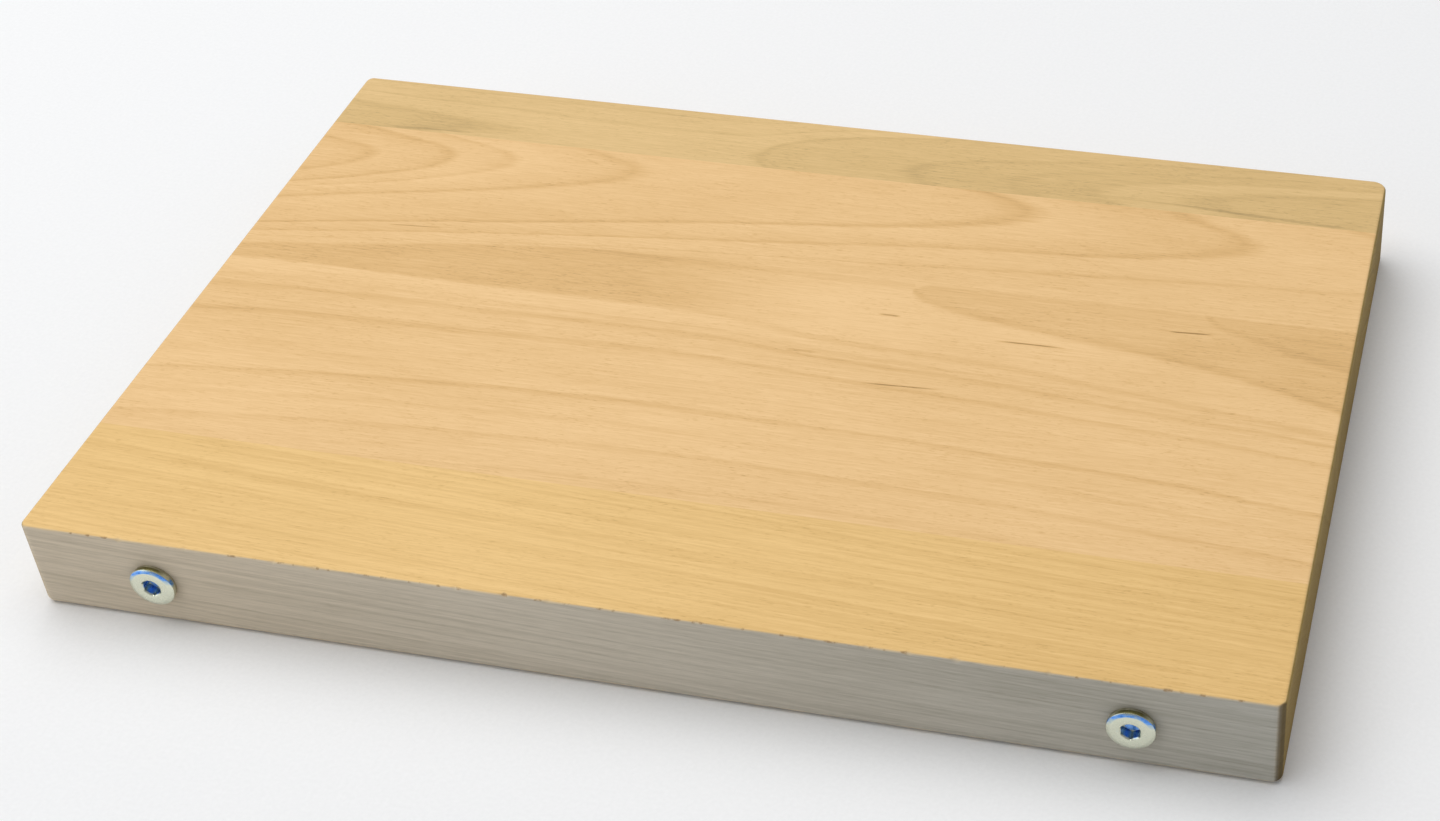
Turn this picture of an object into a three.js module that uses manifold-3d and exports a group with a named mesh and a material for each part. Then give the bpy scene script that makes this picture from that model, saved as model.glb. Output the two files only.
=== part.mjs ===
// Transfer board: a solid beech panel glued up from three staves, with two
// flat-head socket bolts standing out of its front edge. Each bolt screws into
// a flanged threaded insert, and its head stands 2.6 mm out of the edge, where
// it locates or holds a fitting.
//
// Millimetres. +X runs along the board (and along the grain), +Y from the
// bolted front edge to the rear edge, +Z up. The origin is at the middle of
// the underside, below the middle of the top face.

import * as THREE from 'three';
import { mergeVertices } from 'three/addons/utils/BufferGeometryUtils.js';
import Module from 'manifold-3d';

// Panel
const LENGTH = 360;
const WIDTH = 240;
const THICKNESS = 30;
const FRONT_STAVE_WIDTH = 46;
const REAR_STAVE_WIDTH = 30;

// Rounded arrises and corners of the panel
const FRONT_TOP_ARRIS = 0.8;   // left almost sharp
const LEFT_TOP_ARRIS = 1.5;
const RIGHT_TOP_ARRIS = 1;
const EASED_ARRIS = 2;
const PLAN_CORNER = 3;
const REAR_RIGHT_PLAN_CORNER = 5;
const ARRIS_STEPS = 5;

// Studs: where their axes are
const LEFT_STUD_INSET = 39;    // from the left end
const RIGHT_STUD_INSET = 40;   // from the right end
const STUD_HEIGHT = THICKNESS / 2;

// Threaded insert
const FLANGE_DIAMETER = 13;
const FLANGE_THICKNESS = 0.8;
const INSERT_DIAMETER = 12;
const INSERT_CORE_DIAMETER = 10.4;
const INSERT_LENGTH = 16;
const INSERT_THREAD_PITCH = 3;
const INSERT_BORE = 8.3;

// Bolt
const HEAD_DIAMETER = 13.4;
const HEAD_THICKNESS = 1.8;
const HEAD_BEVEL_WIDTH = 1.25;
const HEAD_BEVEL_DEPTH = 0.5;
const SHANK_DIAMETER = 7.6;
const SHANK_CORE_DIAMETER = 6.8;
const SHANK_LENGTH = 15;
const SHANK_THREAD_PITCH = 1.25;
const SOCKET_ACROSS_FLATS = 5;
const SOCKET_DEPTH = 3.2;

// Clearances and facets
const WOOD_CLEARANCE = 0.3;    // round an insert in its hole
const HOLE_END_CLEARANCE = 2;  // behind an insert and its bolt
const CUTTER_MARGIN = 5;       // how far a cutting box reaches past the panel
const ROUND_SEGMENTS = 40;

const FRONT_Y = -WIDTH / 2;
const REAR_Y = WIDTH / 2;
const FRONT_GLUE_Y = FRONT_Y + FRONT_STAVE_WIDTH;
const REAR_GLUE_Y = REAR_Y - REAR_STAVE_WIDTH;
const FLANGE_FACE_Y = FRONT_Y - FLANGE_THICKNESS;
const HEAD_FACE_Y = FLANGE_FACE_Y - HEAD_THICKNESS;

const wasm = await Module();
wasm.setup();

// ---------------------------------------------------------------- solids

function toSolid(geometry) {
  const bare = geometry.clone();
  bare.deleteAttribute('normal');
  bare.deleteAttribute('uv');
  const merged = mergeVertices(bare, 1e-4);
  return new wasm.Manifold(new wasm.Mesh({
    numProp: 3,
    vertProperties: new Float32Array(merged.attributes.position.array),
    triVerts: new Uint32Array(merged.index.array),
  }));
}

function toGeometry(solid) {
  const mesh = solid.getMesh();
  const geometry = new THREE.BufferGeometry();
  geometry.setAttribute('position', new THREE.BufferAttribute(mesh.vertProperties, 3));
  geometry.setIndex(new THREE.BufferAttribute(mesh.triVerts, 1));
  geometry.computeVertexNormals();
  return geometry;
}

// A closed outline through corners given as [x, y, radius], each corner rounded.
function roundedOutline(corners) {
  const points = corners.map(([x, y]) => new THREE.Vector2(x, y));
  const shape = new THREE.Shape();
  corners.forEach(([, , radius], i) => {
    const corner = points[i];
    const before = points[(i + points.length - 1) % points.length];
    const after = points[(i + 1) % points.length];
    const enter = corner.clone().add(before.clone().sub(corner).setLength(radius));
    const leave = corner.clone().add(after.clone().sub(corner).setLength(radius));
    if (i === 0) shape.moveTo(enter.x, enter.y);
    else shape.lineTo(enter.x, enter.y);
    shape.quadraticCurveTo(corner.x, corner.y, leave.x, leave.y);
  });
  shape.closePath();
  return shape;
}

function extruded(shape, depth) {
  return new THREE.ExtrudeGeometry(shape, { depth, bevelEnabled: false, curveSegments: ARRIS_STEPS });
}

// A solid turned about a line along Y. The profile lists [radius, y].
function turned(profile) {
  const points = profile.map(([radius, y]) => new THREE.Vector2(radius, y));
  return new THREE.LatheGeometry(points, ROUND_SEGMENTS);
}

// ---------------------------------------------------------------- panel

// The whole panel is what three rounded outlines have in common: its plan,
// its long side view and its end view.
function panelBlank() {
  const halfLength = LENGTH / 2;
  const plan = extruded(roundedOutline([
    [-halfLength, FRONT_Y, PLAN_CORNER],
    [halfLength, FRONT_Y, PLAN_CORNER],
    [halfLength, REAR_Y, REAR_RIGHT_PLAN_CORNER],
    [-halfLength, REAR_Y, PLAN_CORNER],
  ]), THICKNESS);

  const side = extruded(roundedOutline([
    [-halfLength, 0, EASED_ARRIS],
    [halfLength, 0, EASED_ARRIS],
    [halfLength, THICKNESS, RIGHT_TOP_ARRIS],
    [-halfLength, THICKNESS, LEFT_TOP_ARRIS],
  ]), WIDTH);
  side.applyMatrix4(new THREE.Matrix4().set(
    1, 0, 0, 0,
    0, 0, -1, REAR_Y,
    0, 1, 0, 0,
    0, 0, 0, 1,
  ));

  const end = extruded(roundedOutline([
    [FRONT_Y, 0, EASED_ARRIS],
    [REAR_Y, 0, EASED_ARRIS],
    [REAR_Y, THICKNESS, EASED_ARRIS],
    [FRONT_Y, THICKNESS, FRONT_TOP_ARRIS],
  ]), LENGTH);
  end.applyMatrix4(new THREE.Matrix4().set(
    0, 0, 1, -halfLength,
    1, 0, 0, 0,
    0, 1, 0, 0,
    0, 0, 0, 1,
  ));

  return toSolid(plan).intersect(toSolid(side)).intersect(toSolid(end));
}

// The slice of the panel between two glue lines.
function staveSolid(blank, fromY, toY) {
  const box = new THREE.BoxGeometry(
    LENGTH + 2 * CUTTER_MARGIN,
    toY - fromY,
    THICKNESS + 2 * CUTTER_MARGIN,
  );
  box.translate(0, (fromY + toY) / 2, THICKNESS / 2);
  return blank.intersect(toSolid(box));
}

function studHole(x) {
  const depth = INSERT_LENGTH + HOLE_END_CLEARANCE;
  const radius = INSERT_DIAMETER / 2 + WOOD_CLEARANCE;
  const hole = new THREE.CylinderGeometry(radius, radius, depth + CUTTER_MARGIN, ROUND_SEGMENTS);
  hole.translate(x, FRONT_Y + (depth - CUTTER_MARGIN) / 2, STUD_HEIGHT);
  return toSolid(hole);
}

// ---------------------------------------------------------------- studs

// Crests and roots of a V thread as [radius, y], from one y to a higher one.
// The thread is made of rings, not a helix.
function threadProfile(fromY, toY, pitch, crest, root) {
  const turns = Math.floor((toY - fromY) / pitch);
  const points = [];
  for (let turn = 0; turn < turns; turn += 1) {
    const y = fromY + turn * pitch;
    points.push([crest, y + pitch / 2]);
    points.push([root, y + pitch]);
  }
  return points;
}

// A flanged insert with a coarse outer thread, open right through.
function insertGeometry() {
  const endY = FRONT_Y + INSERT_LENGTH;
  const bore = INSERT_BORE / 2;
  const core = INSERT_CORE_DIAMETER / 2;
  return turned([
    [bore, FLANGE_FACE_Y],
    [FLANGE_DIAMETER / 2, FLANGE_FACE_Y],
    [FLANGE_DIAMETER / 2, FRONT_Y],
    [core, FRONT_Y],
    ...threadProfile(FRONT_Y, endY, INSERT_THREAD_PITCH, INSERT_DIAMETER / 2, core),
    [core, endY],
    [bore, endY],
    [bore, FLANGE_FACE_Y],
  ]);
}

// A hexagonal cutter along Y, as wide across its flats as the key.
function socketCutter() {
  const radius = SOCKET_ACROSS_FLATS / Math.sqrt(3);
  const cutter = new THREE.CylinderGeometry(radius, radius, SOCKET_DEPTH + CUTTER_MARGIN, 6);
  cutter.translate(0, HEAD_FACE_Y + (SOCKET_DEPTH - CUTTER_MARGIN) / 2, 0);
  return toSolid(cutter);
}

// A flat chamfered head on a threaded shank, with a hexagonal socket.
function boltGeometry() {
  const head = HEAD_DIAMETER / 2;
  const shank = SHANK_DIAMETER / 2;
  const core = SHANK_CORE_DIAMETER / 2;
  const tipY = FLANGE_FACE_Y + SHANK_LENGTH;
  const solid = turned([
    [0, HEAD_FACE_Y],
    [head - HEAD_BEVEL_WIDTH, HEAD_FACE_Y],
    [head, HEAD_FACE_Y + HEAD_BEVEL_DEPTH],
    [head, FLANGE_FACE_Y],
    [shank, FLANGE_FACE_Y],
    [shank, FRONT_Y],
    ...threadProfile(FRONT_Y, tipY - SHANK_THREAD_PITCH, SHANK_THREAD_PITCH, shank, core),
    [core, tipY - SHANK_THREAD_PITCH],
    [core - 0.5, tipY],
    [0, tipY],
  ]);
  return toGeometry(toSolid(solid).subtract(socketCutter()));
}

// ---------------------------------------------------------------- assembly

const beech = { roughness: 0.55, metalness: 0 };
const frontBeech = new THREE.MeshStandardMaterial({ color: 0xe6c382, ...beech });
const middleBeech = new THREE.MeshStandardMaterial({ color: 0xeeca92, ...beech });
const rearBeech = new THREE.MeshStandardMaterial({ color: 0xdfbf8a, ...beech });
const zincSteel = new THREE.MeshStandardMaterial({ color: 0xcfd2c4, roughness: 0.25, metalness: 1 });
const insertSteel = new THREE.MeshStandardMaterial({ color: 0xb9b39a, roughness: 0.4, metalness: 1 });

const board = new THREE.Group();

function add(name, geometry, material, parent = board) {
  const mesh = new THREE.Mesh(geometry, material);
  mesh.name = name;
  parent.add(mesh);
}

const studs = [
  { side: 'left', x: -LENGTH / 2 + LEFT_STUD_INSET },
  { side: 'right', x: LENGTH / 2 - RIGHT_STUD_INSET },
];

const blank = panelBlank();
let frontStave = staveSolid(blank, FRONT_Y - CUTTER_MARGIN, FRONT_GLUE_Y);
for (const { x } of studs) frontStave = frontStave.subtract(studHole(x));
add('front_stave', toGeometry(frontStave), frontBeech);
add('middle_stave', toGeometry(staveSolid(blank, FRONT_GLUE_Y, REAR_GLUE_Y)), middleBeech);
add('rear_stave', toGeometry(staveSolid(blank, REAR_GLUE_Y, REAR_Y + CUTTER_MARGIN)), rearBeech);

for (const { side, x } of studs) {
  const stud = new THREE.Group();
  stud.position.set(x, 0, STUD_HEIGHT);
  add(`${side}_insert`, insertGeometry(), insertSteel, stud);
  add(`${side}_bolt`, boltGeometry(), zincSteel, stud);
  board.add(stud);
}

export default board;
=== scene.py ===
"""Looks for a beech transfer board: a panel of three glued staves with two socket bolts in its front edge.

Lengths are in metres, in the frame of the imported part: +X along the board, +Y from the bolted edge to the
rear edge, +Z up. The wood's figure is written on a grid of 400 by 333 squares laid over the top face, with
its origin at the front left corner.
"""

import math

import bmesh
import bpy
from mathutils import Matrix, Vector


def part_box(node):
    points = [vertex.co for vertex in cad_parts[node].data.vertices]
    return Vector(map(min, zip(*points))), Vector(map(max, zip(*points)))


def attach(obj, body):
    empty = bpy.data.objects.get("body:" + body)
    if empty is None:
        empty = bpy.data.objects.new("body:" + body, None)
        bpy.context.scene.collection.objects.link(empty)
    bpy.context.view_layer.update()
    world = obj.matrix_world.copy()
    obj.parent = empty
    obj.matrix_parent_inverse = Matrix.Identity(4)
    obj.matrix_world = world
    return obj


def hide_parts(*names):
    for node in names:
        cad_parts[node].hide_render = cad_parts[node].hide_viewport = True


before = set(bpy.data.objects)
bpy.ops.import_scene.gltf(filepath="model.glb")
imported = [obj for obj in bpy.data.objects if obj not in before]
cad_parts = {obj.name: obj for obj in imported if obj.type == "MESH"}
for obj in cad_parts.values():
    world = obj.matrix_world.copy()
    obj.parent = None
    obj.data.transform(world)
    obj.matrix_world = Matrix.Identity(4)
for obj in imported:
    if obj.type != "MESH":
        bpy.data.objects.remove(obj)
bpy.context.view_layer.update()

MM = 0.001
TAU = 2 * math.pi


# ---------------------------------------------------------------- sizes

def corner(node, which):
    """The lowest (0) or highest (1) corner of a CAD node."""
    return Vector(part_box(node)[which])


FRONT = corner("front_stave", 0).y
REAR = corner("rear_stave", 1).y
FRONT_GLUE = corner("middle_stave", 0).y
REAR_GLUE = corner("middle_stave", 1).y
TOP = corner("middle_stave", 1).z
RIGHT = corner("middle_stave", 1).x
LEFT = -RIGHT
LENGTH = RIGHT - LEFT
WIDTH = REAR - FRONT
GRID_LENGTH = 400
GRID_WIDTH = 333

# Radii of the rounded arrises round the top, one for each side, and round the underside
TOP_ARRIS = {"front": 0.8 * MM, "right": 1.0 * MM, "rear": 2.0 * MM, "left": 1.5 * MM}
BOTTOM_ARRIS = 2 * MM
PLAN_CORNER = 3 * MM
REAR_RIGHT_PLAN_CORNER = 5 * MM
ARRIS_STEPS = 6
PLAN_CORNER_STEPS = 8

# How far the extra loop beside each arris stands off it, and how closely points follow the outline
SUPPORT = 0.25 * MM
FRONT_SPACING = 0.7 * MM
SIDE_SPACING = 9 * MM

# Small bruises along the front top arris: distance from the left end in grid squares, width and depth in mm
CHIPS = [
    (35, 2.4, 0.5), (57, 3.0, 0.35), (87, 2.0, 0.45), (101, 3.6, 0.3), (114, 1.8, 0.4), (147, 2.6, 0.5),
    (163, 2.2, 0.5), (177, 3.4, 0.35), (224, 2.6, 0.45), (276, 2.0, 0.4), (289, 2.8, 0.35),
    (303, 3.6, 0.6), (331, 2.2, 0.4), (366, 3.0, 0.3),
]
CHIP_SCALE = 1.7

# Bolt head and insert, as in the CAD
HEAD_BEVEL_WIDTH = 1.25 * MM
HEAD_BEVEL_DEPTH = 0.5 * MM
SHANK_RADIUS = 3.8 * MM
SHANK_CORE = 3.4 * MM
SHANK_PITCH = 1.25 * MM
SOCKET_FLATS = 5 * MM
SOCKET_DEPTH = 3.2 * MM
INSERT_RADIUS = 6.0 * MM
INSERT_CORE = 5.2 * MM
INSERT_PITCH = 3 * MM
INSERT_BORE = 4.15 * MM
HOLE_RADIUS = 6.3 * MM
HOLE_DEPTH = 18 * MM
DRILL_MARGIN = 5 * MM
ROUND_STEPS = 96
HOLE_STEPS = 48
THREAD_RINGS = 80
INSERT_THREAD_RINGS = 60
SOFT = 0.12 * MM  # how much an edge of a bolt or insert is rounded


# ---------------------------------------------------------------- shader arithmetic

class Field:
    """A value that varies over a surface, with the usual arithmetic."""

    def __init__(self, shader, socket):
        self.shader = shader
        self.socket = socket

    def _math(self, operation, *others, swap=False):
        node = self.shader.add("ShaderNodeMath", operation=operation)
        values = [self, *others]
        if swap:
            values.reverse()
        for slot, value in zip(node.inputs, values):
            self.shader.feed(slot, value)
        return Field(self.shader, node.outputs[0])

    def __add__(self, other):
        return self._math("ADD", other)

    def __radd__(self, other):
        return self._math("ADD", other)

    def __sub__(self, other):
        return self._math("SUBTRACT", other)

    def __rsub__(self, other):
        return self._math("SUBTRACT", other, swap=True)

    def __mul__(self, other):
        return self._math("MULTIPLY", other)

    def __truediv__(self, other):
        return self._math("DIVIDE", other)

    def squared(self):
        return self._math("MULTIPLY", self)

    def root(self):
        return self._math("SQRT")

    def clamped(self):
        return self.spread(0, 1, 0, 1)

    def spread(self, low, high, to_low=0.0, to_high=1.0, smooth=False):
        """This value mapped from low..high to to_low..to_high, and held at both ends."""
        node = self.shader.add("ShaderNodeMapRange", clamp=True)
        if smooth:
            node.interpolation_type = "SMOOTHSTEP"
        for slot, value in zip(node.inputs, (self, low, high, to_low, to_high)):
            self.shader.feed(slot, value)
        return Field(self.shader, node.outputs[0])

    def bell(self, centre, width):
        """1 at the centre, falling smoothly to 0 at half a width to each side."""
        away = ((self - centre) * (2 / width)).squared()
        return (1 - away).spread(0, 1, smooth=True)

    def curve(self, low, high, points):
        """A smooth curve through points (value, result), for values from low to high."""
        results = [result for _, result in points]
        floor, ceiling = min(results), max(results)
        node = self.shader.add("ShaderNodeFloatCurve")
        line = node.mapping.curves[0]
        for index, (value, result) in enumerate(points):
            place = ((value - low) / (high - low), (result - floor) / (ceiling - floor))
            if index < 2:
                line.points[index].location = place
            else:
                line.points.new(*place)
        node.mapping.update()
        self.shader.feed(node.inputs["Value"], self.spread(low, high))
        return Field(self.shader, node.outputs[0]) * (ceiling - floor) + floor

    def ramp(self, low, high, stops):
        """A number from 0 to 1 that runs through stops (value, number)."""
        node = self.shader.add("ShaderNodeValToRGB")
        elements = node.color_ramp.elements
        while len(elements) < len(stops):
            elements.new(0.5)
        for element, (value, number) in zip(elements, sorted(stops)):
            element.position = (value - low) / (high - low)
            element.color = (number, number, number, 1)
        self.shader.feed(node.inputs[0], self.spread(low, high))
        return Field(self.shader, node.outputs[0])

    def tint(self, stops):
        """A colour that runs through stops (number from 0 to 1, linear colour)."""
        node = self.shader.add("ShaderNodeValToRGB")
        elements = node.color_ramp.elements
        while len(elements) < len(stops):
            elements.new(0.5)
        for element, (number, colour) in zip(elements, stops):
            element.position = number
            element.color = (*colour, 1)
        self.shader.feed(node.inputs[0], self)
        return Field(self.shader, node.outputs[0])


class Shader:
    """One material, built node by node round a Principled shader."""

    def __init__(self, name):
        self.material = bpy.data.materials.new(name)
        self.material.use_nodes = True
        self.tree = self.material.node_tree
        self.principled = self.tree.nodes["Principled BSDF"]
        coordinates = self.add("ShaderNodeTexCoord")
        scaled = self.add("ShaderNodeVectorMath", operation="SCALE")
        self.tree.links.new(coordinates.outputs["Object"], scaled.inputs[0])
        scaled.inputs["Scale"].default_value = 1 / MM
        self.place = scaled.outputs[0]
        split = self.add("ShaderNodeSeparateXYZ")
        self.tree.links.new(self.place, split.inputs[0])
        self.x, self.y, self.z = (Field(self, socket) for socket in split.outputs)
        facing = self.add("ShaderNodeSeparateXYZ")
        self.tree.links.new(coordinates.outputs["Normal"], facing.inputs[0])
        self.facing = [Field(self, socket) for socket in facing.outputs]

    def add(self, kind, **settings):
        node = self.tree.nodes.new(kind)
        for key, value in settings.items():
            setattr(node, key, value)
        return node

    def feed(self, slot, value):
        if isinstance(value, Field):
            self.tree.links.new(value.socket, slot)
        else:
            slot.default_value = value

    def noise(self, size, detail=2.0, roughness=0.5, at=None):
        """Noise from 0 to 1. size is how large its features are in mm: one number, or one along each axis."""
        sizes = size if isinstance(size, tuple) else (size, size, size)
        shrink = self.add("ShaderNodeVectorMath", operation="DIVIDE")
        self.tree.links.new(at or self.place, shrink.inputs[0])
        shrink.inputs[1].default_value = sizes
        node = self.add("ShaderNodeTexNoise")
        self.tree.links.new(shrink.outputs[0], node.inputs["Vector"])
        node.inputs["Scale"].default_value = 1.0
        node.inputs["Detail"].default_value = detail
        node.inputs["Roughness"].default_value = roughness
        return Field(self, node.outputs[0])

    def point(self, x, y, z):
        """A place made of three values."""
        node = self.add("ShaderNodeCombineXYZ")
        for slot, value in zip(node.inputs, (x, y, z)):
            self.feed(slot, value)
        return node.outputs[0]

    def blend(self, share, first, second, mode="MIX"):
        """first where share is 0 and second where it is 1. Each is a Field or a linear colour."""
        node = self.add("ShaderNodeMix", data_type="RGBA", blend_type=mode)
        self.feed(node.inputs["Factor"], share)
        for slot, value in zip((node.inputs[6], node.inputs[7]), (first, second)):
            self.feed(slot, value if isinstance(value, Field) else (*value, 1))
        return Field(self, node.outputs[2])

    def bump(self, height, distance):
        """Surface relief. height runs from 0 to 1, and distance is what 1 stands for, in metres."""
        node = self.add("ShaderNodeBump")
        node.inputs["Distance"].default_value = distance
        self.feed(node.inputs["Height"], height)
        self.tree.links.new(node.outputs[0], self.principled.inputs["Normal"])

    def set(self, **values):
        for name, value in values.items():
            self.feed(self.principled.inputs[name.replace("_", " ")], value)


# ---------------------------------------------------------------- beech

# Linear colours: pale, dark and darkest wood of the front edge, greyer and darker as painted shade, and of
# the end grain, darker partly as painted shade
SHADED_EDGE_PALE, SHADED_EDGE_DARK, SHADED_EDGE_DEEP = (0.67, 0.57, 0.435), (0.465, 0.392, 0.285), (0.28, 0.225, 0.15)
END_GRAIN_AND_SHADE_PALE, END_GRAIN_AND_SHADE_DARK, END_GRAIN_AND_SHADE_DEEP = (0.40, 0.275, 0.080), (0.265, 0.174, 0.048), (0.13, 0.082, 0.022)

# What the front edge is multiplied by at its right end, where its painted shade turns greyer, and the colours
# of worn and bruised arrises and of the painted shade on the upright front right arris
EDGE_SHADE_TO_RIGHT = (0.86, 0.97, 1.13)
WORN, BRUISED, UPRIGHT_ARRIS_SHADE = (0.80, 0.58, 0.30), (0.36, 0.22, 0.10), (0.10, 0.075, 0.04)

# Height of the relief on each material
WOOD_RELIEF = 0.06 * MM
BOLT_RELIEF = 0.02 * MM
INSERT_RELIEF = 0.03 * MM
PAPER_RELIEF = 0.04 * MM


class Beech(Shader):
    """Sanded beech with a growth figure of its own for each stave.

    pith is the middle of the growth rings as they show on an end of the stave, as (y, z) in mm.
    """

    def __init__(self, name, pith):
        super().__init__(name)
        self.pith = pith
        self.along = (self.x - LEFT / MM) * (GRID_LENGTH / (LENGTH / MM))
        self.across = (self.y - FRONT / MM) * (GRID_WIDTH / (WIDTH / MM))
        self.depth = TOP / MM - self.z

    def marks(self, places):
        """Dark streaks along the grain: (along, across, length, width, slope, strength)."""
        total = None
        for along, across, length, width, slope, strength in places:
            away = self.across - across - (self.along - along) * slope
            mark = self.along.bell(along, length) * away.bell(0, width) * strength
            mark = mark * self.depth.spread(0, 1.5, 1, 0)
            total = mark if total is None else total + mark
        return total

    def finish(self, tone, light, dark, deep):
        """Colours the wood from its tone: 0 is the palest early wood and 1 the darkest late wood."""
        # Fine texture over the figure: fibres, cloudiness and the short dark flecks of beech
        fibres = self.noise((26, 0.6, 0.6), detail=3, roughness=0.7)
        threads = self.noise((6, 0.32, 0.32), detail=2)
        clouds = self.noise((80, 22, 12), detail=2)
        rays = self.noise((2.4, 0.40, 0.9), detail=1)
        flecks = rays.spread(0.58, 0.74) * self.noise((26, 10, 10)).spread(0.25, 0.6)

        # The share of the front edge, with its painted shade, in the colour, here and on the arris below it
        ahead = 0 - self.facing[1]
        under = (0 - self.facing[2]).spread(0, 0.6)
        shaded_edge_share = (ahead + under * ahead.spread(0, 0.3)).spread(0.35, 0.9, smooth=True)
        tone = tone + (fibres - 0.5) * 0.58 + (threads - 0.5) * 0.40
        tone = tone + (clouds - 0.5) * 0.30 + flecks * (1 - shaded_edge_share * 0.75) * 0.27 - 0.015
        tone = tone.clamped()
        face = tone.tint([(0.0, light), (0.45, dark), (1.0, deep)])

        # The front edge is painted a greyer, darker beige as painted shade of a face turned away from the top
        # light, greyest towards the right
        edge = tone.tint([(0.0, SHADED_EDGE_PALE), (0.5, SHADED_EDGE_DARK), (1.0, SHADED_EDGE_DEEP)])
        edge = self.blend(self.along.spread(60, 400), edge, EDGE_SHADE_TO_RIGHT, mode="MULTIPLY")
        colour = self.blend(shaded_edge_share, face, edge)

        # End grain drinks more oil and goes dark, and is painted darker still as painted shade on the ends,
        # with fine pores and the growth rings round the pith
        end_share = self.facing[0].squared().spread(0.12, 0.60, smooth=True)
        pores = self.noise(0.4, detail=2).spread(0.35, 0.65)
        ring_radius = ((self.y - self.pith[0]).squared() + (self.z - self.pith[1]).squared()).root()
        waver = self.noise(9, detail=1) * 1.6
        end_rings = self.noise((1, 1.7, 1), detail=2, at=self.point(0, ring_radius + waver, 5))
        end_tone = tone * 0.35 + pores * 0.18 + end_rings.spread(0.3, 0.7) * 0.40
        # The end grain is painted paler near the top: a painted highlight where the upper end catches more
        # light
        end_tone = end_tone - self.depth.spread(1, 9, 0.22, 0)
        end = end_tone.tint([(0.0, END_GRAIN_AND_SHADE_PALE), (0.5, END_GRAIN_AND_SHADE_DARK), (1.0, END_GRAIN_AND_SHADE_DEEP)])
        colour = self.blend(end_share, colour, end)

        # Handling has rubbed the arrises a little paler and smoother
        flatness = self.facing[0].squared().squared()
        flatness = flatness + self.facing[1].squared().squared()
        flatness = flatness + self.facing[2].squared().squared()
        rounding = flatness.spread(0.55, 0.95, 1, 0)
        wear = rounding * self.noise(9, detail=2).spread(0.35, 0.65)
        colour = self.blend(wear * (1 - end_share) * 0.45, colour, WORN)

        # Small brown bruises on the arris between the top and the front edge
        nicks = self.noise(2.6, detail=3).spread(0.58, 0.68) * rounding
        nicks = nicks * ahead.spread(0.15, 0.4) * self.facing[2].spread(0.15, 0.4)
        colour = self.blend(nicks * 0.8, colour, BRUISED)

        # Painted shade on the upright arris at the front right, where the front edge turns towards the shaded
        # right end
        upright_arris_shade = ahead.spread(0.15, 0.4) * self.facing[0].spread(0.25, 0.5)
        colour = self.blend(upright_arris_shade * 0.75, colour, UPRIGHT_ARRIS_SHADE)

        sheen = tone * 0.12 + fibres * 0.16 - wear * 0.08 + end_share * 0.25 + 0.44
        self.set(Base_Color=colour, Roughness=sheen)
        self.principled.inputs["Specular IOR Level"].default_value = 0.2
        relief = fibres * 0.5 + threads * 0.3 + pores * end_share * 0.5
        self.bump(relief, WOOD_RELIEF)
        return self.material


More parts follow.
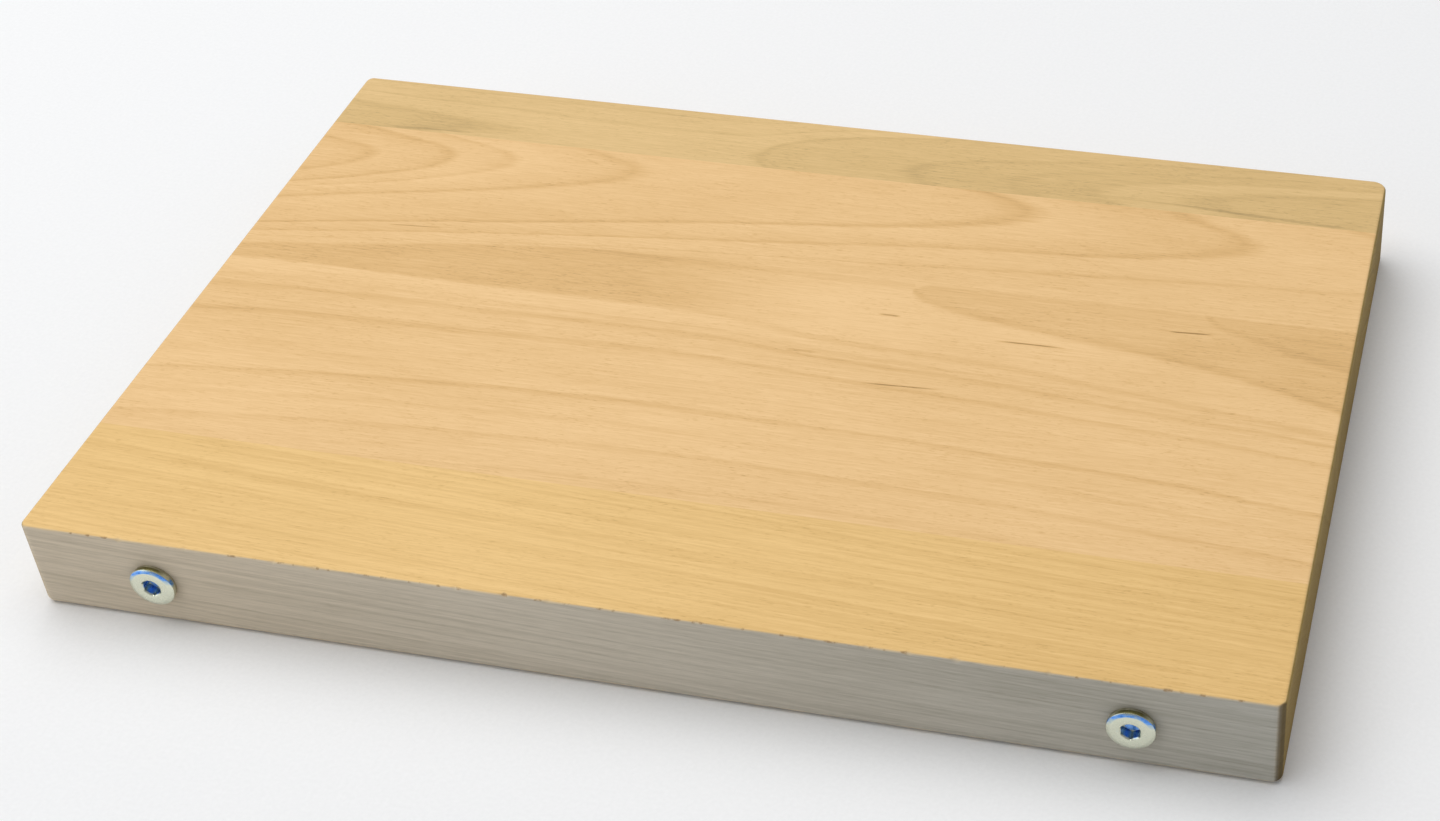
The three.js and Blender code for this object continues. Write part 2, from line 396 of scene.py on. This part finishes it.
def middle_beech():
    """The wide stave: arches open to the left, tongues open to the right, straighter grain in front."""
    wood = Beech("beech_middle", pith=(25, -70))
    sway = wood.noise((120, 40, 30), detail=1) - 0.5
    ripple = wood.noise((40, 9, 9), detail=2) - 0.5
    fray = wood.noise((13, 1.0, 1.0), detail=2, roughness=0.6) - 0.5
    across = wood.across + sway * 4 + ripple * 1.8 + fray * 2.4
    bow = (wood.along - 200).squared() * 0.00038

    # Growth surfaces behind the ridge, as a height for each distance across the stave
    trough = (across + bow).curve(190, 310, [
        (190, 500), (203, 498), (209, 470), (216, 360), (227, 235), (234, 180), (246, 112), (262, 32),
        (281, 0), (295, 22), (310, 60),
    ])
    arches = trough + wood.along + wood.depth * 26 + ripple * 8
    arch_tone = arches.ramp(-20, 1180, [
        (-20, 0.12), (18, 0.32), (22, 0.48), (25, 0.18), (50, 0.28), (56, 0.50), (60, 0.14),
        (74, 0.24), (78, 0.38), (82, 0.14), (118, 0.25), (127, 0.48), (132, 0.16), (262, 0.28),
        (276, 0.54), (283, 0.18), (346, 0.32), (356, 0.52), (364, 0.19), (432, 0.22), (440, 0.40),
        (448, 0.18), (560, 0.22), (568, 0.34), (576, 0.18), (648, 0.22), (655, 0.36), (662, 0.18),
        (1180, 0.22),
    ])

    # In front of the ridge the grain straightens out
    ridge_top = wood.along.curve(0, 400, [
        (0, 192), (40, 199), (80, 208), (120, 214), (160, 217), (200, 219), (400, 218),
    ])
    ridge_foot = wood.along.curve(0, 400, [
        (0, 181), (44, 182), (100, 181), (176, 181), (224, 174), (280, 170), (320, 164), (400, 150),
    ])
    nearness = across.spread(110, 178)
    run = across + bow * (1 - nearness) + (181 - ridge_foot) * nearness + wood.depth * -1.6
    run_tone = run.ramp(55, 205, [
        (55, 0.18), (68, 0.22), (69, 0.33), (71, 0.20), (86, 0.20), (89.5, 0.34), (91, 0.16),
        (101, 0.18), (103, 0.28), (105, 0.18), (115, 0.20), (118, 0.44), (119.5, 0.16), (128, 0.22),
        (140, 0.18), (149, 0.22), (152, 0.42), (154, 0.18), (163, 0.22), (166, 0.42), (168, 0.18),
        (171, 0.28), (172.5, 0.17), (174, 0.16), (179, 0.12), (205, 0.16),
    ])

    # The ridge is dark at its left, pale in the middle, and carries one tongue inside another at its right
    first = wood.along.curve(246, 400, [
        (246, 213), (248, 208), (253, 204), (266, 199), (296, 192), (346, 182), (400, 162),
    ])
    second = wood.along.curve(347, 400, [
        (347, 221), (351, 212), (358, 206), (372, 200), (385, 194), (400, 189),
    ])
    roof = wood.along.curve(246, 320, [(246, 211), (248, 215), (253, 217.5), (262, 218.5), (320, 218.5)])
    inside_first = (across - first).spread(0, 3, smooth=True) * (roof - across).spread(-1.5, 1.5, smooth=True)
    inside_second = (across - second).spread(0, 3, smooth=True)
    rim = (across - first).bell(2.5, 8) * 0.10 + (across - second).bell(2.5, 7) * 0.10
    left_part = wood.along.spread(130, 225, 1, 0, smooth=True)
    ridge_tone = 0.15 + left_part * 0.29 + inside_first * 0.22 + inside_second * 0.05 + rim
    above = (across - ridge_top).spread(-1.5, 1.5, smooth=True)
    below = (ridge_foot - across).spread(-1.5, 1.5, smooth=True)
    tone = run_tone * below + arch_tone * above + ridge_tone * (1 - below - above)
    foot_line = (across - ridge_foot).bell(-1, 5) * wood.along.spread(150, 215, smooth=True)
    tone = tone + foot_line * 0.16
    lines = wood.noise((400, 1.1, 1.1), detail=2, at=wood.point(wood.along, run * below, arches * 0.02))
    tone = tone + (lines - 0.5) * 0.22
    tone = tone + wood.marks([
        (60, 218.0, 24, 1.1, 0.09, 0.5), (242, 194, 9, 1.6, 0.0, 0.7),
        (293, 185.4, 27, 1.3, 0.02, 0.8), (345, 205.5, 17, 1.2, 0.08, 0.8),
        (256, 148.4, 30, 1.1, 0.06, 0.7), (218, 163.5, 14, 1.8, 0.0, 0.35),
    ])
    return wood.finish(tone, light=(0.90, 0.605, 0.300), dark=(0.74, 0.466, 0.196), deep=(0.40, 0.235, 0.085))


def front_beech():
    """The front stave: yellower, with straight lines that drift down to the right on both its faces."""
    wood = Beech("beech_front", pith=(-40, -110))
    sway = wood.noise((160, 30, 30), detail=1) - 0.5
    fray = wood.noise((16, 1.2, 1.2), detail=2, roughness=0.6) - 0.5
    run = wood.across + wood.along * 0.08 - wood.depth * 1.78 + sway * 4 + fray * 1.6
    broad = wood.noise((1, 6.0, 1), detail=3, roughness=0.7, at=wood.point(0, run, 7))
    fine = wood.noise((1, 1.7, 1), detail=1, at=wood.point(wood.along / 200, run, 3))
    tone = broad.spread(0.36, 0.70, smooth=True) * 0.15 + fine.spread(0.4, 0.7) * 0.20 + 0.07
    tone = tone + wood.along.spread(150, 400) * 0.16
    return wood.finish(tone, light=(0.88, 0.590, 0.248), dark=(0.735, 0.472, 0.178), deep=(0.40, 0.25, 0.08))


def rear_beech():
    """The rear stave: browner, with a dark lens at the left and long nested tongues opening to the right."""
    wood = Beech("beech_rear", pith=(70, 150))
    sway = wood.noise((90, 18, 18), detail=2) - 0.5
    ripple = wood.noise((30, 6, 6), detail=2) - 0.5
    fray = wood.noise((11, 1.0, 1.0), detail=2, roughness=0.6) - 0.5
    off_ridge = wood.across - 300 + sway * 4 + ripple * 2 + fray * 2.4
    lengthwise = wood.along.curve(0, 400, [
        (0, 26), (30, 17), (60, 9), (116, -3), (150, -2), (166, 6), (174, 22), (190, 55), (228, 112),
        (265, 150), (301, 186), (400, 250),
    ])
    rings = lengthwise - off_ridge.squared() * 0.13 + wood.depth * 9 + ripple * 6 + fray * 7
    tone = rings.ramp(-180, 320, [
        (-180, 0.26), (-150, 0.30), (-146, 0.40), (-140, 0.28), (-95, 0.30), (-90, 0.42), (-84, 0.26),
        (-36, 0.28), (-30, 0.42), (-24, 0.25), (4, 0.28), (10, 0.52), (18, 0.40), (60, 0.36),
        (104, 0.36), (112, 0.52), (120, 0.38), (145, 0.40), (151, 0.50), (160, 0.40), (182, 0.44),
        (188, 0.24), (205, 0.28), (214, 0.52), (222, 0.40), (320, 0.42),
    ])
    tone = tone + wood.marks([
        (358, 294.5, 84, 2.4, -0.07, 0.24), (318, 297.0, 60, 2.0, -0.04, 0.16),
        (40, 293.5, 40, 2.0, 0.05, 0.20),
    ])
    return wood.finish(tone, light=(0.84, 0.585, 0.280), dark=(0.68, 0.465, 0.200), deep=(0.36, 0.25, 0.11))


# ---------------------------------------------------------------- metal

def zinc_plate():
    """Bright zinc plate: creamy on the face, bluish in the socket where the passivation is thicker, with a
    painted blue reflection on the upper bevel and a painted dark reflection on the top of the rim, fine
    turning marks.
    """
    metal = Shader("zinc_plate")
    radius_squared = metal.x.squared() + metal.z.squared()
    radius = radius_squared.root()
    turning = metal.noise((1, 0.09, 1), detail=2, at=metal.point(0, radius, 3))
    stain = metal.noise(1.6, detail=3)
    up = metal.facing[2]
    rim = radius.spread(5.3, 5.7)
    # Painted reflection: the upward-facing part of the bevel is tinted blue as if mirroring the sky overhead
    painted_bevel_reflection = up.spread(0.05, 0.33, smooth=True) * up.spread(0.42, 0.55, 1, 0) * rim
    inside = radius.spread(2.45, 2.75, 1, 0)
    patchy = metal.noise((2.2, 1, 1), detail=2).spread(0.35, 0.65, 0.55, 1)
    # Blue from passivation in the socket and from stains, plus the bevel's painted reflection
    passivation_and_reflection = (painted_bevel_reflection * patchy + inside * 0.74 + (stain - 0.62) * 0.5).clamped()
    colour = passivation_and_reflection.tint([
        (0.0, (0.72, 0.74, 0.60)),
        (0.35, (0.42, 0.56, 0.66)),
        (0.75, (0.13, 0.36, 0.92)),
        (1.0, (0.07, 0.20, 0.55)),
    ])
    # Painted reflection: the top of the rim's cylinder side is tinted dark olive as if mirroring the shaded
    # wood face
    colour = metal.blend(up.spread(0.70, 0.90) * rim, colour, (0.22, 0.21, 0.09))
    metal.set(Base_Color=colour, Roughness=stain * 0.14 + turning * 0.10 + 0.16)
    metal.principled.inputs["Metallic"].default_value = 1.0
    metal.bump(turning * 0.6 + stain * 0.4, BOLT_RELIEF)
    return metal.material


def dull_zinc():
    """Plain zinc plate on the inserts, duller and yellower, with blotchy stains."""
    metal = Shader("dull_zinc")
    stain = metal.noise(2.2, detail=4)
    grain = metal.noise(0.25, detail=2)
    colour = stain.tint([(0.25, (0.30, 0.27, 0.17)), (0.6, (0.52, 0.49, 0.36)), (0.85, (0.66, 0.66, 0.58))])
    metal.set(Base_Color=colour, Roughness=stain * 0.2 + grain * 0.1 + 0.3)
    metal.principled.inputs["Metallic"].default_value = 1.0
    metal.bump(grain, INSERT_RELIEF)
    return metal.material


# ---------------------------------------------------------------- mesh tools

def new_piece(name, mesh, material, node):
    """Puts a finished mesh in the scene as a piece that stands for a CAD node."""
    piece = bpy.data.objects.new(name, mesh)
    bpy.context.collection.objects.link(piece)
    mesh.materials.append(material)
    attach(piece, "root")
    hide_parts(node)
    return piece


def shade(build, sharp_degrees):
    """Smooth faces that meet at a sharp edge wherever they turn by more than an angle."""
    for face in build.faces:
        face.smooth = True
    for edge in build.edges:
        edge.smooth = edge.calc_face_angle(0.0) < math.radians(sharp_degrees)


def weighted_normals(piece):
    """Keeps large flat faces flat where they meet small rounded ones."""
    modifier = piece.modifiers.new("weighted_normals", "WEIGHTED_NORMAL")
    modifier.keep_sharp = True
    modifier.weight = 100


# ---------------------------------------------------------------- panel

def chip_depth(along):
    """How much wider the front top arris is at a distance from the left end, in metres."""
    depth = 0.0
    for centre, width, size in CHIPS:
        away = abs(along / MM - centre * LENGTH / MM / GRID_LENGTH) / (width / 2)
        if away < 1:
            ragged = 1 + 0.3 * math.sin(9 * away + centre)
            depth += CHIP_SCALE * size * MM * (1 - away * away) ** 2 * ragged
    return depth


def panel_outline():
    """Points round the plan, anticlockwise: (place, outward normal, radius of the top arris there)."""
    corners = [
        ("front", "right", Vector((RIGHT, FRONT)), PLAN_CORNER, -0.25 * TAU),
        ("right", "rear", Vector((RIGHT, REAR)), REAR_RIGHT_PLAN_CORNER, 0.0),
        ("rear", "left", Vector((LEFT, REAR)), PLAN_CORNER, 0.25 * TAU),
        ("left", "front", Vector((LEFT, FRONT)), PLAN_CORNER, 0.5 * TAU),
    ]
    arcs = []
    for before, after, sharp, radius, start in corners:
        middle_angle = start + TAU / 8
        toward = Vector((math.cos(middle_angle), math.sin(middle_angle)))
        centre = sharp - toward * radius * math.sqrt(2)
        arc = []
        for step in range(PLAN_CORNER_STEPS + 1):
            share = step / PLAN_CORNER_STEPS
            angle = start + TAU / 4 * share
            normal = Vector((math.cos(angle), math.sin(angle)))
            arris = TOP_ARRIS[before] * (1 - share) + TOP_ARRIS[after] * share
            arc.append((centre + normal * radius, normal, arris))
        arcs.append(arc)

    outline = []
    sides = ["right", "rear", "left", "front"]
    for index, arc in enumerate(arcs):
        outline += arc
        start, normal, arris = arc[-1]
        end = arcs[(index + 1) % 4][0][0]
        spacing = FRONT_SPACING if sides[index] == "front" else SIDE_SPACING
        pieces = max(1, round((end - start).length / spacing))
        for step in range(1, pieces):
            place = start.lerp(end, step / pieces)
            radius = arris
            if sides[index] == "front":
                radius += chip_depth(place.x - LEFT)
            outline.append((place, normal, radius))
    return outline


def panel_rings(outline):
    """Rings of points from the underside up to the top face, all with one point for each outline point."""
    def ring(level):
        points = []
        for place, normal, arris in outline:
            inset, height = level(arris)
            x, y = place - normal * inset
            points.append(Vector((x, y, height)))
        return points

    def bottom(angle):
        return lambda arris: (
            BOTTOM_ARRIS * (1 - math.cos(angle)),
            BOTTOM_ARRIS * (1 - math.sin(angle)),
        )

    def top(angle):
        return lambda arris: (arris * (1 - math.cos(angle)), TOP - arris * (1 - math.sin(angle)))

    quarter = [TAU / 4 * step / ARRIS_STEPS for step in range(ARRIS_STEPS + 1)]
    rings = [ring(lambda arris: (BOTTOM_ARRIS + SUPPORT, 0.0))]
    rings += [ring(bottom(angle)) for angle in reversed(quarter)]
    rings.append(ring(lambda arris: (0.0, BOTTOM_ARRIS + SUPPORT)))
    rings.append(ring(lambda arris: (0.0, TOP - arris - SUPPORT)))
    rings += [ring(top(angle)) for angle in quarter]
    rings.append(ring(lambda arris: (arris + SUPPORT, TOP)))
    return rings


def panel_mesh():
    """The whole panel, before it is divided into staves."""
    build = bmesh.new()
    rings = [[build.verts.new(point) for point in ring] for ring in panel_rings(panel_outline())]
    for lower, upper in zip(rings, rings[1:]):
        count = len(lower)
        for index in range(count):
            after = (index + 1) % count
            build.faces.new((lower[index], lower[after], upper[after], upper[index]))
    build.faces.new(list(reversed(rings[0])))
    build.faces.new(rings[-1])
    bmesh.ops.remove_doubles(build, verts=build.verts, dist=1e-6)
    bmesh.ops.recalc_face_normals(build, faces=build.faces)
    return build


def cut_to(build, y, keep_behind):
    """Cuts a closed mesh along the plane at y, keeps one side and closes it again."""
    cut = bmesh.ops.bisect_plane(
        build,
        geom=build.verts[:] + build.edges[:] + build.faces[:],
        plane_co=(0, y, 0),
        plane_no=(0, 1, 0),
        clear_inner=keep_behind,
        clear_outer=not keep_behind,
    )
    edges = [item for item in cut["geom_cut"] if isinstance(item, bmesh.types.BMEdge)]
    bmesh.ops.contextual_create(build, geom=edges)


def stave(name, from_y, to_y, material, whole):
    """The part of the panel between two planes across it. None leaves that side as it is."""
    build = whole.copy()
    if from_y is not None:
        cut_to(build, from_y, keep_behind=True)
    if to_y is not None:
        cut_to(build, to_y, keep_behind=False)
    bmesh.ops.recalc_face_normals(build, faces=build.faces)
    shade(build, 50)
    mesh = bpy.data.meshes.new(name)
    build.to_mesh(mesh)
    build.free()
    return new_piece("wood_" + name, mesh, material, name)


def drill(piece, places):
    """Blind holes for the inserts, cut into the front edge."""
    build = bmesh.new()
    for x, z in places:
        middle = (x, FRONT + (HOLE_DEPTH - DRILL_MARGIN) / 2, z)
        turn = Matrix.Translation(middle) @ Matrix.Rotation(TAU / 4, 4, "X")
        bmesh.ops.create_cone(
            build, cap_ends=True, segments=HOLE_STEPS, radius1=HOLE_RADIUS, radius2=HOLE_RADIUS,
            depth=HOLE_DEPTH + DRILL_MARGIN, matrix=turn,
        )
    mesh = bpy.data.meshes.new("drill")
    build.to_mesh(mesh)
    build.free()
    cutter = bpy.data.objects.new("drill", mesh)
    bpy.context.collection.objects.link(cutter)
    modifier = piece.modifiers.new("holes", "BOOLEAN")
    modifier.operation = "DIFFERENCE"
    modifier.object = cutter
    modifier.solver = "EXACT"
    drilled = bpy.data.meshes.new_from_object(piece.evaluated_get(bpy.context.evaluated_depsgraph_get()))
    piece.modifiers.clear()
    piece.data = drilled
    bpy.data.objects.remove(cutter)


# ---------------------------------------------------------------- studs

def hexagon(flats):
    """Distance from the middle of a hexagon to its side, as a function of angle."""
    return lambda angle: flats / 2 / math.cos((angle + TAU / 12) % (TAU / 6) - TAU / 12)


def thread(core, crest, pitch, start):
    """Radius of a helical V thread at an angle and a distance along the axis."""
    def radius(angle, y):
        turn = ((y - start) / pitch - angle / TAU) % 1
        fade = min(1.0, max(0.0, (y - start) / pitch))
        return core + (crest - core) * (1 - abs(2 * turn - 1)) * fade
    return radius


def spun_mesh(name, rings, closed, sharp_degrees=28):
    """Rings of (radius, y) round the Y axis. A radius is a length or a function of (angle, y).

    closed joins the last ring to the first; otherwise both ends are closed at the axis.
    """
    build = bmesh.new()
    loops = []
    for radius, y in rings:
        loop = []
        for step in range(ROUND_STEPS):
            angle = TAU * step / ROUND_STEPS
            r = radius(angle, y) if callable(radius) else radius
            loop.append(build.verts.new((r * math.cos(angle), y, r * math.sin(angle))))
        loops.append(loop)
    pairs = list(zip(loops, loops[1:]))
    if closed:
        pairs.append((loops[-1], loops[0]))
    for first, second in pairs:
        for step in range(ROUND_STEPS):
            after = (step + 1) % ROUND_STEPS
            build.faces.new((first[step], first[after], second[after], second[step]))
    if not closed:
        build.faces.new(loops[0])
        build.faces.new(loops[-1])
    bmesh.ops.recalc_face_normals(build, faces=build.faces)
    shade(build, sharp_degrees)
    mesh = bpy.data.meshes.new(name)
    build.to_mesh(mesh)
    build.free()
    return mesh


def steps(start, end, count):
    """Evenly spaced places from start to end."""
    return [start + (end - start) * index / count for index in range(count + 1)]


def stud(side, bolt_metal, insert_metal):
    """A bolt and its insert, made round their own axis and then set in place."""
    low, high = corner(side + "_bolt", 0), corner(side + "_bolt", 1)
    head = (high.x - low.x) / 2
    axis = Vector(((low.x + high.x) / 2, 0, (low.z + high.z) / 2))
    face, tip = low.y, high.y
    flange_face = corner(side + "_insert", 0).y
    insert_end = corner(side + "_insert", 1).y
    flange = (corner(side + "_insert", 1).x - corner(side + "_insert", 0).x) / 2
    flat = head - HEAD_BEVEL_WIDTH
    socket = hexagon(SOCKET_FLATS)
    mouth = SOCKET_FLATS / math.sqrt(3) + SOFT
    rings = [
        (0.3 * MM, face + SOCKET_DEPTH + 0.7 * MM),
        (lambda angle, y: 0.86 * socket(angle), face + SOCKET_DEPTH + 0.25 * MM),
        (lambda angle, y: socket(angle), face + SOCKET_DEPTH),
        (lambda angle, y: socket(angle), face + 0.45 * MM),
        (lambda angle, y: 0.5 * (socket(angle) + mouth), face + 0.18 * MM),
        (mouth, face + 0.02 * MM),
        (mouth + 0.1 * MM, face),
        (flat - SOFT, face),
        (flat + SOFT, face + 0.4 * SOFT),
        (head - 1.2 * SOFT, face + HEAD_BEVEL_DEPTH - 0.5 * SOFT),
        (head - 0.4 * SOFT, face + HEAD_BEVEL_DEPTH + 0.1 * SOFT),
        (head, face + HEAD_BEVEL_DEPTH + 0.9 * SOFT),
        (head, flange_face - 2 * SOFT),
        (head - 0.4 * SOFT, flange_face - 0.5 * SOFT),
        (head - 1.5 * SOFT, flange_face),
        (SHANK_RADIUS + 0.3 * MM, flange_face),
        (SHANK_RADIUS, flange_face + 0.3 * MM),
    ]
    cut = thread(SHANK_CORE, SHANK_RADIUS, SHANK_PITCH, FRONT)
    end = tip - 1.0 * MM
    rings += [(SHANK_CORE, FRONT - 0.1 * MM)]
    rings += [(cut, y) for y in steps(FRONT, end, THREAD_RINGS)]
    rings += [(SHANK_CORE - 0.5 * MM, tip - 0.05 * MM), (0.5 * SHANK_CORE, tip)]
    mesh = spun_mesh(side + "_bolt", rings, closed=False)
    bolt = new_piece(side + "_stud_bolt", mesh, bolt_metal, side + "_bolt")
    bolt.location = axis

    outer = thread(INSERT_CORE, INSERT_RADIUS, INSERT_PITCH, FRONT + 1 * MM)
    inner = INSERT_BORE
    rings = [
        (inner + 0.3 * MM, flange_face),
        (flange - SOFT, flange_face),
        (flange, flange_face + SOFT),
        (flange, FRONT - 0.5 * SOFT),
        (flange - 0.5 * SOFT, FRONT),
        (INSERT_CORE, FRONT),
    ]
    rings += [(outer, y) for y in steps(FRONT + 0.5 * MM, insert_end - 0.6 * MM, INSERT_THREAD_RINGS)]
    rings += [
        (INSERT_CORE - 0.3 * MM, insert_end),
        (inner + 0.3 * MM, insert_end),
        (inner, insert_end - 0.3 * MM),
        (inner, flange_face + 0.3 * MM),
    ]
    mesh = spun_mesh(side + "_insert", rings, closed=True)
    insert = new_piece(side + "_stud_insert", mesh, insert_metal, side + "_insert")
    insert.location = axis
    return axis


# ---------------------------------------------------------------- stage

FLOOR_SIZE = 6
FLOOR_GAP = 0.2 * MM
SKY = (0.95, 0.97, 1.0)
SKY_STRENGTH = 0.32
DAYLIGHT = (0.93, 0.97, 1.0)

# Camera: angles in degrees, lens in millimetres
AZIMUTH, ELEVATION, ROLL = 13.842, 39.435, -1.917
LENS = 62.221
SHIFT = (-0.2083, -0.0129)
CAMERA_PLACE = (0.22147, -0.56126, 0.49779)
NEAREST = 0.05


def paper():
    """Matt white paper with the faintest tooth."""
    surface = Shader("paper")
    tooth = surface.noise(1.2, detail=3)
    tint = tooth.tint([(0.3, (0.90, 0.90, 0.90)), (0.7, (0.93, 0.93, 0.93))])
    surface.set(Base_Color=tint)
    surface.principled.inputs["Roughness"].default_value = 0.9
    surface.principled.inputs["Specular IOR Level"].default_value = 0.1
    surface.bump(tooth, PAPER_RELIEF)
    return surface.material


def make_stage():
    """A sheet of paper wide enough to fill the picture, just under the board."""
    build = bmesh.new()
    bmesh.ops.create_grid(build, x_segments=8, y_segments=8, size=FLOOR_SIZE)
    mesh = bpy.data.meshes.new("floor")
    build.to_mesh(mesh)
    build.free()
    mesh.materials.append(paper())
    floor = bpy.data.objects.new("floor", mesh)
    floor.location = (0, 0, -FLOOR_GAP)
    bpy.context.collection.objects.link(floor)


def area_light(name, direction, distance, size, power, colour=(1, 1, 1)):
    """A soft square light that shines at the board from a direction."""
    light = bpy.data.lights.new(name, "AREA")
    light.shape = "SQUARE"
    light.size = size
    light.energy = power
    light.color = colour
    lamp = bpy.data.objects.new(name, light)
    toward = Vector(direction).normalized()
    lamp.location = toward * distance
    lamp.rotation_mode = "QUATERNION"
    lamp.rotation_quaternion = toward.to_track_quat("Z", "Y")
    bpy.context.collection.objects.link(lamp)


def make_lights():
    area_light("key", (-0.30, 0.20, 1.0), distance=2.4, size=3.0, power=58)
    area_light("front_fill", (-0.9, -0.8, 0.35), distance=1.6, size=0.9, power=3.2, colour=DAYLIGHT)
    world = bpy.data.worlds.new("studio")
    world.use_nodes = True
    background = world.node_tree.nodes["Background"]
    background.inputs["Color"].default_value = (*SKY, 1)
    background.inputs["Strength"].default_value = SKY_STRENGTH
    bpy.context.scene.world = world
    bpy.context.scene.view_settings.view_transform = "Standard"


def make_camera():
    """Stands to the front right and looks down on the board, which lies to the left of the lens's axis."""
    azimuth, elevation, roll = (math.radians(angle) for angle in (AZIMUTH, ELEVATION, ROLL))
    back = Vector((
        math.sin(azimuth) * math.cos(elevation),
        -math.cos(azimuth) * math.cos(elevation),
        math.sin(elevation),
    ))
    data = bpy.data.cameras.new("camera")
    data.lens = LENS
    data.shift_x, data.shift_y = SHIFT
    data.clip_start = NEAREST
    camera = bpy.data.objects.new("camera", data)
    camera.rotation_mode = "QUATERNION"
    camera.rotation_quaternion = back.to_track_quat("Z", "Y") @ Matrix.Rotation(roll, 3, "Z").to_quaternion()
    camera.location = CAMERA_PLACE
    bpy.context.collection.objects.link(camera)
    bpy.context.scene.camera = camera


# ---------------------------------------------------------------- assembly

make_camera()
make_lights()
make_stage()

plated, dull = zinc_plate(), dull_zinc()
axes = [stud(side, plated, dull) for side in ("left", "right")]

whole_panel = panel_mesh()
front = stave("front_stave", None, FRONT_GLUE, front_beech(), whole_panel)
drill(front, [(axis.x, axis.z) for axis in axes])
middle = stave("middle_stave", FRONT_GLUE, REAR_GLUE, middle_beech(), whole_panel)
rear = stave("rear_stave", REAR_GLUE, None, rear_beech(), whole_panel)
whole_panel.free()
for piece in (front, middle, rear):
    weighted_normals(piece)
